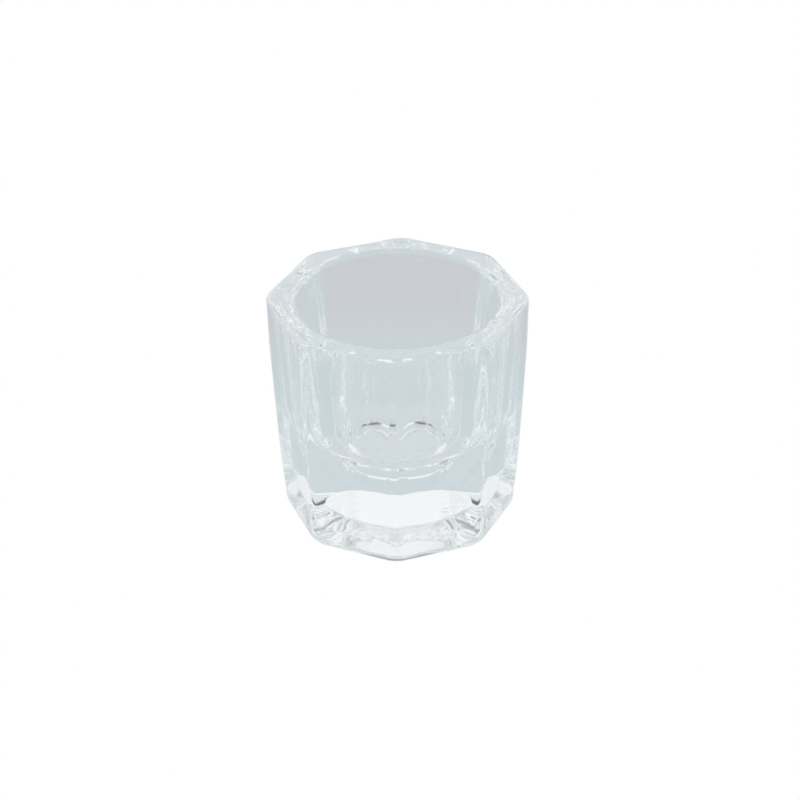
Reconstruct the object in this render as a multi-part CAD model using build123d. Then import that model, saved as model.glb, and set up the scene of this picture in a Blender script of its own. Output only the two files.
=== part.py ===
from build123d import *

import os

# Pressed-glass dappen dish: one solid octagonal block of clear glass with a round
# well in the top and a shallow recess under the foot.  Millimetres, +Z up, origin
# in the middle of the base plane, octagon corners on the X and Y axes.

# outside
HEIGHT = 28.0
RIM_ACROSS_FLATS = 28.2
FOOT_ACROSS_FLATS = 25.5
RIM_CORNER_RADIUS = 3.2
FOOT_CORNER_RADIUS = 3.0
RIM_OUTER_FILLET = 0.7
FOOT_FILLET = 1.5

# inside of the well, its corners as (radius, height) from the mouth down to the disc
MOUTH_RADIUS = 11.75
MOUTH_FILLET = 0.5
DRAFT_CHANGE = (10.15, 19.5)
DRAFT_CHANGE_FILLET = 60.0
WELL_CORNER = (9.5, 12.75)
WELL_CORNER_FILLET = 2.5
STEP_TOP = (5.55, 9.95)
STEP_TOP_FILLET = 0.4
DISC_EDGE = (5.08, 8.83)
DISC_EDGE_FILLET = 0.12

# recess under the foot
RECESS_DEPTH = 2.95
RECESS_CEILING_RADIUS = 6.7
RECESS_MOUTH_RADIUS = 10.4
RECESS_LIP_HEIGHT = 0.3
RECESS_LIP_FLARE = 0.1
RECESS_CEILING_FILLET = 1.2

CUT_OVERLAP = 1.0


def octagon(across_flats, corner_radius, z):
    """Rounded octagon with a corner on each axis, at height z."""
    sharp = RegularPolygon(across_flats / 2, 8, major_radius=False)
    rounded = fillet(sharp.vertices(), corner_radius)
    return Pos(0, 0, z) * rounded


def rim_edges(solid, z):
    """Outline edges of the flat end of the block at height z."""
    return [e for e in solid.edges() if abs(e.bounding_box().min.Z - z) < 1e-4
            and abs(e.bounding_box().max.Z - z) < 1e-4]


def outer_block():
    """Tapered octagonal block with softened rim and foot."""
    foot = octagon(FOOT_ACROSS_FLATS, FOOT_CORNER_RADIUS, 0)
    rim = octagon(RIM_ACROSS_FLATS, RIM_CORNER_RADIUS, HEIGHT)
    block = loft([foot, rim], ruled=True)
    block = fillet(rim_edges(block, HEIGHT), RIM_OUTER_FILLET)
    return fillet(rim_edges(block, 0), FOOT_FILLET)


def fillet_at(profile, point, radius):
    """The XZ-plane profile with its corner at (x, z) rounded."""
    corner = profile.vertices().sort_by_distance((point[0], 0, point[1]))[0]
    return fillet(corner, radius)


def well():
    """Solid of revolution that is cut out of the top, down to the flat disc."""
    above = HEIGHT + CUT_OVERLAP
    profile = Plane.XZ * make_face(Polyline(
        (0, DISC_EDGE[1]),
        DISC_EDGE,
        STEP_TOP,
        WELL_CORNER,
        DRAFT_CHANGE,
        (MOUTH_RADIUS, HEIGHT),
        (MOUTH_RADIUS, above),
        (0, above),
        close=True,
    ))
    profile = fillet_at(profile, DRAFT_CHANGE, DRAFT_CHANGE_FILLET)
    profile = fillet_at(profile, WELL_CORNER, WELL_CORNER_FILLET)
    profile = fillet_at(profile, STEP_TOP, STEP_TOP_FILLET)
    profile = fillet_at(profile, DISC_EDGE, DISC_EDGE_FILLET)
    return revolve(profile, Axis.Z)


def recess():
    """Solid of revolution that is cut out of the underside: a flat-topped shallow cone."""
    lip_radius = RECESS_MOUTH_RADIUS + RECESS_LIP_FLARE
    profile = Plane.XZ * make_face(Polyline(
        (0, -CUT_OVERLAP),
        (lip_radius, -CUT_OVERLAP),
        (lip_radius, 0),
        (RECESS_MOUTH_RADIUS, RECESS_LIP_HEIGHT),
        (RECESS_CEILING_RADIUS, RECESS_DEPTH),
        (0, RECESS_DEPTH),
        close=True,
    ))
    ceiling_edge = (RECESS_CEILING_RADIUS, RECESS_DEPTH)
    profile = fillet_at(profile, ceiling_edge, RECESS_CEILING_FILLET)
    return revolve(profile, Axis.Z)


def mouth_edges(solid):
    """The circle where the well wall meets the flat rim."""
    return [e for e in rim_edges(solid, HEIGHT)
            if e.geom_type == GeomType.CIRCLE and abs(e.radius - MOUTH_RADIUS) < 1e-3]


def glass_dish():
    dish = outer_block() - well() - recess()
    dish = fillet(mouth_edges(dish), MOUTH_FILLET)
    dish.label = "glass_dish"
    return dish


os.makedirs("parts", exist_ok=True)
export_step(glass_dish(), "parts/glass_dish.step")
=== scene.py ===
import math

import bpy
import numpy as np
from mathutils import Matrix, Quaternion, Vector, noise


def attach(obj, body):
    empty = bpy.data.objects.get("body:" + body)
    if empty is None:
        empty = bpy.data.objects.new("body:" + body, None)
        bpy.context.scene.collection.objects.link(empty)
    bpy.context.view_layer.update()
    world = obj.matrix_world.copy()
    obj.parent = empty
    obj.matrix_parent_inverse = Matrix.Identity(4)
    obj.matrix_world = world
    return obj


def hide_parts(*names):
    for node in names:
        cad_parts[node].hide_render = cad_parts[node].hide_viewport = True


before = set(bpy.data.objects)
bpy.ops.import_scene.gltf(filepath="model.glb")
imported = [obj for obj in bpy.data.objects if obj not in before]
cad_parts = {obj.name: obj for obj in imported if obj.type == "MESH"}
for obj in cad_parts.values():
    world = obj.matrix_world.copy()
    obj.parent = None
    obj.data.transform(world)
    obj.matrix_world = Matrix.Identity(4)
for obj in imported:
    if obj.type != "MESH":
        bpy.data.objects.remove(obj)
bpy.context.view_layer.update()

MM = 0.001

# outside of the dish, millimetres
HEIGHT = 28.0
RIM_APOTHEM = 14.1
FOOT_APOTHEM = 12.75
BOW = 0.07
FACE_SINK = 0.08
CORNER_RADIUS = 1.6
RIM_CORNER_RADIUS = 3.3
FOOT_CORNER_RADIUS = 3.6
CORNER_BLEND_HEIGHT = 7.0
RIM_FILLET = 0.5
FOOT_FILLET = 1.5

# well in the top: points up its wall, as (radius, height), from the edge of the flat disc over
# the step round it, the shoulder and the bottom corner, and up the straight wall to the mouth
WELL_WALL = (
    (5.06, 8.83),
    (5.32, 9.33),
    (5.84, 10.03),
    (7.41, 11.03),
    (9.1, 12.43),
    (9.68, 14.33),
    (9.94, 16.83),
    (10.3, 20.0),
    (10.85, 24.0),
    (11.75, 28.0),
)
MOUTH_FILLET = 0.9

# recess under the foot
RECESS_DEPTH = 2.95
RECESS_CEILING_RADIUS = 6.7
RECESS_CEILING_FILLET = 0.7
RECESS_MOUTH_RADIUS = 10.4
RECESS_LIP_HEIGHT = 0.3
RECESS_LIP_FLARE = 0.1
RECESS_LIP_FILLET = 0.2
RECESS_FOOT_WIDTH = 0.3

# unevenness of each zone of the surface: (height, width of the waves across, and up);
# the mouth zone takes in the inner part of the flat of the rim and a little of the wall below
FINISH = {
    "foot": (),
    "recess": ((0.015, 1.6, 1.6), (0.005, 0.6, 0.6)),
    "side": ((0.02, 5.0, 12.0),),
    "edge": ((0.04, 3.0, 3.0), (0.01, 1.2, 1.2)),
    "rim": ((0.06, 2.4, 2.4),),
    "mouth": ((0.06, 1.2, 1.2), (0.02, 0.6, 0.6)),
    "well": ((0.003, 1.6, 14.0), (0.010, 4.0, 6.0)),
}
MOUTH_ZONE_FROM = 0.4
MOUTH_ZONE_DROP = 0.3
CENTRE_FADE_RADIUS = 2.0

# mesh density: columns round each eighth, rings along each stretch, steps in millimetres, and
# the share of the lines before and after a corner that its fillet may take up
FLAT_COLUMNS = 22
CORNER_COLUMNS = 22
CORNER_COLUMN_SPREAD = 1.1
FOOT_RINGS = 3
FOOT_FILLET_RINGS = 11
SIDE_RINGS = 43
RIM_FILLET_RINGS = 9
RIM_RINGS = 15
DISC_RINGS = 11
WALL_STEP = 0.28
FINE_WALL_STEP = 0.1
FINE_WALL_HEIGHT = 3.5
STRAIGHT_BELOW_MOUTH = 0.5
PROFILE_STEP = 0.35
ARC_DENSITY = 1.5
ARC_STEP_RAD = 0.06
ARC_MIN_POINTS = 6
FILLET_SHARE_BEFORE = 0.999
FILLET_SHARE_AFTER = 0.98
AXIS_RADIUS = 0.02

# camera of the main view
VIEW_AZIMUTH_DEG = 2.243
VIEW_ELEVATION_DEG = 30.436
VIEW_ROLL_DEG = -0.724
VIEW_DISTANCE = 0.2933
VIEW_LENS = 112.968
VIEW_SHIFT = (0.0016, 0.0022)
SENSOR_WIDTH = 36
CLIP_RANGE = (0.01, 20)

# glass: range of roughness, size of its patches in metres, tint of a thick piece per metre
GLASS_IOR = 1.52
ROUGHNESS = (0.0, 0.03)
PATCH_SIZE = 0.004
PATCH_DETAIL = 3.0
THICK_GLASS_COLOUR = (0.80, 0.93, 0.92)
THICK_GLASS_DENSITY = 4.0

# floor, in metres: the colours of its glow, a painted pool of light that is paler and greener at the dish,
# run from the middle of the dish out to the end of the fade
FLOOR_HALF_WIDTH = 1.5
FLOOR_DROP = 0.00002
FLOOR_FADE_END = 0.12
FLOOR_GLOW_COLOURS = [
    (0.0, (0.63, 0.69, 0.72)),
    (0.17, (0.62, 0.685, 0.715)),
    (0.25, (0.58, 0.66, 0.685)),
    (0.33, (0.592, 0.64, 0.67)),
    (0.42, (0.585, 0.60, 0.642)),
    (1.0, (0.575, 0.59, 0.635)),
]

# surroundings: colours from the horizon to straight overhead, and the dark gap
SKY_COLOURS = [
    (0.0, (0.97, 0.97, 0.98)),
    (0.74, (0.94, 0.94, 0.95)),
    (0.97, (0.34, 0.35, 0.37)),
]
GAP_AZIMUTH_DEG = 0.0
GAP_ELEVATION_DEG = 8.0
GAP_HALF_WIDTH_DEG = 14.0
GAP_SOFTNESS = 0.5
GAP_COLOUR = (0.12, 0.13, 0.15)

LIGHT_BOUNCES = 24
PIXEL_FILTER_WIDTH = 2.0

EIGHTH = math.pi / 4
HALF_EIGHTH = math.pi / 8


# ---------------------------------------------------------------- outline seen from above

def column_angles():
    """Angles of the mesh columns, close together round each of the eight corners."""
    radius = max(RIM_CORNER_RADIUS, FOOT_CORNER_RADIUS)
    centre = (FOOT_APOTHEM - radius) / math.cos(HALF_EIGHTH)
    reach = CORNER_COLUMN_SPREAD * math.atan2(radius * math.sin(HALF_EIGHTH),
                                              centre + radius * math.cos(HALF_EIGHTH))
    angles = []
    for corner in range(8):
        base = corner * EIGHTH
        angles += list(base + np.linspace(-reach, reach, CORNER_COLUMNS, endpoint=False))
        angles += list(base + np.linspace(reach, EIGHTH - reach, FLAT_COLUMNS, endpoint=False))
    return np.array(angles)


THETA = column_angles()


def octagon(apothem, radius, sink=0.0):
    """Distance from the axis to a rounded octagon with sunken faces, at each column angle."""
    off = (THETA + HALF_EIGHTH) % EIGHTH - HALF_EIGHTH
    centre = (apothem - radius) / math.cos(HALF_EIGHTH)
    reach = math.atan2(radius * math.sin(HALF_EIGHTH), centre + radius * math.cos(HALF_EIGHTH))
    arc = centre * np.cos(off) + np.sqrt(np.maximum(radius ** 2 - (centre * np.sin(off)) ** 2, 0))
    along = apothem * np.tan(HALF_EIGHTH - np.abs(off))
    half_face = apothem * math.tan(HALF_EIGHTH) - radius * math.tan(HALF_EIGHTH)
    depth = sink * np.maximum(1 - (along / half_face) ** 2, 0)
    flat = (apothem - depth) / np.cos(HALF_EIGHTH - np.abs(off))
    return np.where(np.abs(off) < reach, arc, flat)


def smoothstep(x):
    x = min(1.0, max(0.0, x))
    return x * x * (3 - 2 * x)


def corner_radius(z):
    """The vertical edges are sharper halfway up than at the fire-polished ends."""
    rim = smoothstep((z - HEIGHT + CORNER_BLEND_HEIGHT) / (CORNER_BLEND_HEIGHT - RIM_FILLET))
    foot = smoothstep((CORNER_BLEND_HEIGHT - z) / (CORNER_BLEND_HEIGHT - RIM_FILLET))
    return (CORNER_RADIUS + (RIM_CORNER_RADIUS - CORNER_RADIUS) * rim
            + (FOOT_CORNER_RADIUS - CORNER_RADIUS) * foot)


# ---------------------------------------------------------------- profiles of the hollows

def direction(vector):
    return math.atan2(vector[1], vector[0])


def unit(vector):
    return vector / np.linalg.norm(vector)


def line_points(start, end):
    """Points after the start of a line, up to its end."""
    count = max(1, int(np.linalg.norm(end - start) / PROFILE_STEP))
    return [tuple(start + (end - start) * k / count) for k in range(1, count + 1)]


def arc_points(centre, start, end, radius):
    """Points after the start of an arc, up to its end, the short way round."""
    first = direction(start - centre)
    turn = (direction(end - centre) - first + math.pi) % (2 * math.pi) - math.pi
    count = max(ARC_MIN_POINTS, int(abs(turn) * radius / PROFILE_STEP * ARC_DENSITY),
                int(abs(turn) / ARC_STEP_RAD))
    angles = [first + turn * k / count for k in range(1, count + 1)]
    return [(centre[0] + radius * math.cos(a), centre[1] + radius * math.sin(a)) for a in angles]


def filleted(points):
    """Samples a polyline of (r, z, fillet radius) points, with its corners rounded."""
    corners = [np.array(p[:2], float) for p in points]
    out = [tuple(corners[0])]
    last = corners[0]
    for i in range(1, len(points) - 1):
        back = unit(corners[i - 1] - corners[i])
        ahead = unit(corners[i + 1] - corners[i])
        half_angle = math.acos(max(-1.0, min(1.0, float(back @ ahead)))) / 2
        reach = min(points[i][2] / math.tan(half_angle),
                    FILLET_SHARE_BEFORE * np.linalg.norm(corners[i] - last),
                    FILLET_SHARE_AFTER * np.linalg.norm(corners[i + 1] - corners[i]))
        radius = reach * math.tan(half_angle)
        centre = corners[i] + unit(back + ahead) * radius / math.sin(half_angle)
        start, end = corners[i] + back * reach, corners[i] + ahead * reach
        out += line_points(last, start) + arc_points(centre, start, end, radius)
        last = end
    return out + line_points(last, corners[-1])


def recess_profile():
    """From the axis, along the ceiling of the recess and down to the foot."""
    lip = RECESS_MOUTH_RADIUS + RECESS_LIP_FLARE
    return filleted([
        (AXIS_RADIUS, RECESS_DEPTH, 0),
        (RECESS_CEILING_RADIUS, RECESS_DEPTH, RECESS_CEILING_FILLET),
        (RECESS_MOUTH_RADIUS, RECESS_LIP_HEIGHT, RECESS_LIP_FILLET),
        (lip, 0, RECESS_LIP_FILLET),
        (lip + RECESS_FOOT_WIDTH, 0, 0),
    ])


def wall_slopes():
    """Radius gained per height at each point of the wall, so that the curve never bulges."""
    gains = [(b[0] - a[0]) / (b[1] - a[1]) for a, b in zip(WELL_WALL, WELL_WALL[1:])]
    between = [2 * low * high / (low + high) for low, high in zip(gains, gains[1:])]
    return [gains[0], *between, gains[-1]]


def wall_radius(z):
    """Radius of the well at a height, on a smooth curve through the points of the wall."""
    k = max(i for i, point in enumerate(WELL_WALL[:-1]) if point[1] <= z)
    (low, z_low), (high, z_high) = WELL_WALL[k:k + 2]
    span = z_high - z_low
    t = (z - z_low) / span
    start, end = wall_slopes()[k:k + 2]
    return ((1 + 2 * t) * (1 - t) ** 2 * low + t * (1 - t) ** 2 * span * start
            + t * t * (3 - 2 * t) * high + t * t * (t - 1) * span * end)


def well_profile():
    """From the flat of the rim, over the mouth and down the well to the axis."""
    disc, floor = WELL_WALL[0]
    mouth = WELL_WALL[-1][0]
    straight = HEIGHT - MOUTH_FILLET - STRAIGHT_BELOW_MOUTH
    fine = floor + FINE_WALL_HEIGHT
    out = filleted([(mouth + MOUTH_FILLET, HEIGHT, 0), (mouth, HEIGHT, MOUTH_FILLET),
                    (wall_radius(straight), straight, 0)])
    heights = [*np.arange(straight, fine, -WALL_STEP)[1:], *np.arange(fine, floor, -FINE_WALL_STEP)]
    out += [(wall_radius(z), z) for z in heights]
    out += [(r, floor) for r in np.linspace(disc, AXIS_RADIUS, DISC_RINGS)]
    return out


# ---------------------------------------------------------------- rings of the surface

def steps(count, end=1.0):
    """Equal steps that reach the end, without the 0 at the start."""
    return np.linspace(0, end, count + 1)[1:]


def foot_rings(inner):
    """From the lip of the recess over the flat of the foot and its fillet."""
    apothem, radius = FOOT_APOTHEM - FOOT_FILLET, FOOT_CORNER_RADIUS - FOOT_FILLET
    edge = octagon(apothem, radius)
    rings = [(inner + (edge - inner) * t, 0.0, "foot") for t in steps(FOOT_RINGS)]
    for a in steps(FOOT_FILLET_RINGS, math.pi / 2):
        grow = FOOT_FILLET * math.sin(a)
        rings.append((octagon(apothem + grow, radius + grow), FOOT_FILLET * (1 - math.cos(a)), "side"))
    return rings


def side_rings():
    """Up the eight faces, which bow out a little and are slightly sunken."""
    side = HEIGHT - RIM_FILLET - FOOT_FILLET
    rings = []
    for t in steps(SIDE_RINGS):
        z = FOOT_FILLET + side * t
        middle = math.sin(math.pi * t)
        apothem = FOOT_APOTHEM + (RIM_APOTHEM - FOOT_APOTHEM) * t + BOW * middle
        rings.append((octagon(apothem, corner_radius(z), FACE_SINK * middle), z, "side"))
    return rings


def rim_rings(mouth):
    """Over the outer edge of the rim and across its flat, up to the fillet of the mouth."""
    rings = []
    for a in steps(RIM_FILLET_RINGS, math.pi / 2):
        shrink = RIM_FILLET * (1 - math.cos(a))
        rings.append((octagon(RIM_APOTHEM - shrink, RIM_CORNER_RADIUS - shrink),
                      HEIGHT - RIM_FILLET * (1 - math.sin(a)), "edge"))
    outer = rings[-1][0]
    for t in steps(RIM_RINGS)[:-1]:
        zone = "mouth" if t > MOUTH_ZONE_FROM else "rim"
        rings.append((outer + (mouth - outer) * t, HEIGHT, zone))
    return rings


def dish_rings():
    """All rings of the surface, axis to axis, as (radius per column, height, zone)."""
    recess, well = recess_profile(), well_profile()
    mouth_bottom = HEIGHT - MOUTH_FILLET - MOUTH_ZONE_DROP
    rings = [(r, z, "recess" if z > 0 else "foot") for r, z in recess]
    rings += foot_rings(recess[-1][0]) + side_rings() + rim_rings(well[0][0])
    rings += [(r, z, "mouth" if z > mouth_bottom else "well") for r, z in well]
    return [(np.broadcast_to(r, THETA.shape), z, zone) for r, z, zone in rings]


# ---------------------------------------------------------------- mesh

def unevenness(zone, x, y, z):
    """How far the pressed and fire-polished surface lies from its true shape, in millimetres."""
    total = 0.0
    for height, wide, tall in FINISH[zone]:
        total += height * noise.noise(Vector((x / wide, y / wide, z / tall)))
    return total


def surface_points():
    """Vertices ring by ring, each moved along its own normal by the unevenness."""
    rings = dish_rings()
    radii = np.array([r for r, _, _ in rings])
    heights = np.array([z for _, z, _ in rings])
    run = np.gradient(radii, axis=0)
    rise = np.gradient(heights)[:, None]
    length = np.hypot(run, rise)
    length[length == 0] = 1.0
    points = []
    for level, (row, z, zone) in enumerate(rings):
        line = []
        for radius, theta, along, total in zip(row, THETA, run[level], length[level]):
            x, y = radius * math.cos(theta), radius * math.sin(theta)
            move = unevenness(zone, x, y, z) * min(1.0, radius / CENTRE_FADE_RADIUS)
            out = move * rise[level, 0] / total
            up = -move * along / total
            line.append((x + out * math.cos(theta), y + out * math.sin(theta), z + up))
        points.append(line)
    return points


def build_dish():
    points = surface_points()
    columns = len(THETA)
    verts = [(0.0, 0.0, points[0][0][2])]
    for line in points:
        verts += line
    verts.append((0.0, 0.0, points[-1][0][2]))
    faces = [(0, 1 + (i + 1) % columns, 1 + i) for i in range(columns)]
    for level in range(len(points) - 1):
        low = 1 + level * columns
        high = low + columns
        for i in range(columns):
            j = (i + 1) % columns
            faces.append((low + i, low + j, high + j, high + i))
    last = 1 + (len(points) - 1) * columns
    faces += [(last + i, last + (i + 1) % columns, len(verts) - 1) for i in range(columns)]
    mesh = bpy.data.meshes.new("dish_body")
    mesh.from_pydata([tuple(float(c) * MM for c in v) for v in verts], [], faces)
    mesh.update()
    mesh.shade_smooth()
    dish = bpy.data.objects.new("dish_body", mesh)
    bpy.context.scene.collection.objects.link(dish)
    return dish


# ---------------------------------------------------------------- materials and light

def new_tree(owner):
    owner.use_nodes = True
    tree = owner.node_tree
    tree.nodes.clear()
    return tree


def add(tree, kind, **values):
    node = tree.nodes.new(kind)
    for key, value in values.items():
        setattr(node, key, value)
    return node


def ramp(tree, fac, stops):
    """Colour that runs through the (position, colour) stops."""
    node = add(tree, "ShaderNodeValToRGB")
    tree.links.new(fac, node.inputs["Fac"])
    elements = node.color_ramp.elements
    while len(elements) > 1:
        elements.remove(elements[0])
    for k, (position, colour) in enumerate(stops):
        element = elements[0] if k == 0 else elements.new(position)
        element.position = position
        element.color = (*colour, 1.0)
    return node.outputs["Color"]


def glass_material():
    """Clear glass, a little green in the thick and unevenly polished."""
    material = bpy.data.materials.new("clear_pressed_glass")
    tree = new_tree(material)
    out = add(tree, "ShaderNodeOutputMaterial")
    shader = add(tree, "ShaderNodeBsdfPrincipled")
    shader.inputs["Base Color"].default_value = (1, 1, 1, 1)
    shader.inputs["Transmission Weight"].default_value = 1.0
    shader.inputs["IOR"].default_value = GLASS_IOR
    place = add(tree, "ShaderNodeTexCoord")
    polish = add(tree, "ShaderNodeTexNoise")
    polish.inputs["Scale"].default_value = 1 / PATCH_SIZE
    polish.inputs["Detail"].default_value = PATCH_DETAIL
    tree.links.new(place.outputs["Object"], polish.inputs["Vector"])
    roughness = add(tree, "ShaderNodeMapRange")
    roughness.inputs["To Min"].default_value = ROUGHNESS[0]
    roughness.inputs["To Max"].default_value = ROUGHNESS[1]
    tree.links.new(polish.outputs["Fac"], roughness.inputs["Value"])
    tree.links.new(roughness.outputs["Result"], shader.inputs["Roughness"])
    tree.links.new(shader.outputs["BSDF"], out.inputs["Surface"])
    thick = add(tree, "ShaderNodeVolumeAbsorption")
    thick.inputs["Color"].default_value = (*THICK_GLASS_COLOUR, 1)
    thick.inputs["Density"].default_value = THICK_GLASS_DENSITY
    tree.links.new(thick.outputs["Volume"], out.inputs["Volume"])
    return material


def white_to_camera(tree, shader, out):
    """The floor and the world show as plain white where nothing stands in front."""
    path = add(tree, "ShaderNodeLightPath")
    mix = add(tree, "ShaderNodeMixShader")
    plain = add(tree, "ShaderNodeEmission" if out.bl_idname == "ShaderNodeOutputMaterial"
                else "ShaderNodeBackground")
    plain.inputs["Color"].default_value = (1, 1, 1, 1)
    tree.links.new(path.outputs["Is Camera Ray"], mix.inputs[0])
    tree.links.new(shader, mix.inputs[1])
    tree.links.new(plain.outputs[0], mix.inputs[2])
    tree.links.new(mix.outputs[0], out.inputs["Surface"])


def glowing_floor_material():
    """Glowing sheet, paler and greener close to the dish and bluer far from it: painted light, a glow that
    leaves no shade under the dish.
    """
    material = bpy.data.materials.new("glowing_floor")
    tree = new_tree(material)
    out = add(tree, "ShaderNodeOutputMaterial")
    # painted light: the floor glows instead of being lit, brighter at the dish than away from it
    glow = add(tree, "ShaderNodeEmission")
    place = add(tree, "ShaderNodeTexCoord")
    away = add(tree, "ShaderNodeVectorMath", operation="LENGTH")
    tree.links.new(place.outputs["Object"], away.inputs[0])
    reach = add(tree, "ShaderNodeMapRange")
    reach.inputs["From Max"].default_value = FLOOR_FADE_END
    tree.links.new(away.outputs["Value"], reach.inputs["Value"])
    tree.links.new(ramp(tree, reach.outputs["Result"], FLOOR_GLOW_COLOURS), glow.inputs["Color"])
    white_to_camera(tree, glow.outputs[0], out)
    return material


def build_floor():
    half = FLOOR_HALF_WIDTH
    corners = [(x, y, -FLOOR_DROP) for x, y in ((-half, -half), (half, -half), (half, half), (-half, half))]
    mesh = bpy.data.meshes.new("floor")
    mesh.from_pydata(corners, [], [(0, 1, 2, 3)])
    mesh.materials.append(glowing_floor_material())
    floor = bpy.data.objects.new("floor", mesh)
    bpy.context.scene.collection.objects.link(floor)


def gap_share(tree, towards):
    """1 in the middle of the dark gap, falling to 0 at its edge, for a direction."""
    around, up = math.radians(GAP_AZIMUTH_DEG), math.radians(GAP_ELEVATION_DEG)
    closeness = add(tree, "ShaderNodeVectorMath", operation="DOT_PRODUCT")
    closeness.inputs[1].default_value = (math.sin(around) * math.cos(up),
                                         math.cos(around) * math.cos(up), math.sin(up))
    tree.links.new(towards, closeness.inputs[0])
    share = add(tree, "ShaderNodeMapRange", interpolation_type="SMOOTHSTEP")
    share.inputs["From Min"].default_value = math.cos(math.radians(GAP_HALF_WIDTH_DEG))
    share.inputs["From Max"].default_value = math.cos(math.radians(GAP_HALF_WIDTH_DEG * GAP_SOFTNESS))
    tree.links.new(closeness.outputs["Value"], share.inputs["Value"])
    return share.outputs["Result"]


def build_world():
    """Soft white surroundings, dark straight overhead, with one dark gap low behind the dish."""
    world = bpy.data.worlds.new("studio")
    bpy.context.scene.world = world
    tree = new_tree(world)
    out = add(tree, "ShaderNodeOutputWorld")
    sky = add(tree, "ShaderNodeBackground")
    towards = add(tree, "ShaderNodeTexCoord").outputs["Generated"]
    split = add(tree, "ShaderNodeSeparateXYZ")
    tree.links.new(towards, split.inputs[0])
    mix = add(tree, "ShaderNodeMix", data_type="RGBA")
    tree.links.new(gap_share(tree, towards), mix.inputs["Factor"])
    tree.links.new(ramp(tree, split.outputs["Z"], SKY_COLOURS), mix.inputs["A"])
    mix.inputs["B"].default_value = (*GAP_COLOUR, 1)
    tree.links.new(mix.outputs["Result"], sky.inputs["Color"])
    white_to_camera(tree, sky.outputs[0], out)


def build_camera():
    azimuth, elevation = math.radians(VIEW_AZIMUTH_DEG), math.radians(VIEW_ELEVATION_DEG)
    back = Vector((math.sin(azimuth) * math.cos(elevation),
                   -math.cos(azimuth) * math.cos(elevation), math.sin(elevation)))
    data = bpy.data.cameras.new("camera")
    data.sensor_width = SENSOR_WIDTH
    data.lens = VIEW_LENS
    data.shift_x, data.shift_y = VIEW_SHIFT
    data.clip_start, data.clip_end = CLIP_RANGE
    camera = bpy.data.objects.new("camera", data)
    bpy.context.scene.collection.objects.link(camera)
    camera.location = Vector((0, 0, HEIGHT / 2 * MM)) + back * VIEW_DISTANCE
    camera.rotation_mode = "QUATERNION"
    roll = Quaternion((0, 0, 1), math.radians(VIEW_ROLL_DEG))
    camera.rotation_quaternion = (-back).to_track_quat("-Z", "Y") @ roll
    bpy.context.scene.camera = camera


def set_light_paths():
    scene = bpy.context.scene
    scene.cycles.max_bounces = LIGHT_BOUNCES
    scene.cycles.transmission_bounces = LIGHT_BOUNCES
    scene.cycles.glossy_bounces = LIGHT_BOUNCES
    scene.cycles.filter_width = PIXEL_FILTER_WIDTH
    scene.view_settings.view_transform = "Standard"


dish = build_dish()
dish.data.materials.append(glass_material())
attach(dish, "root")
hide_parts("glass_dish")
build_floor()
build_world()
build_camera()
set_light_paths()
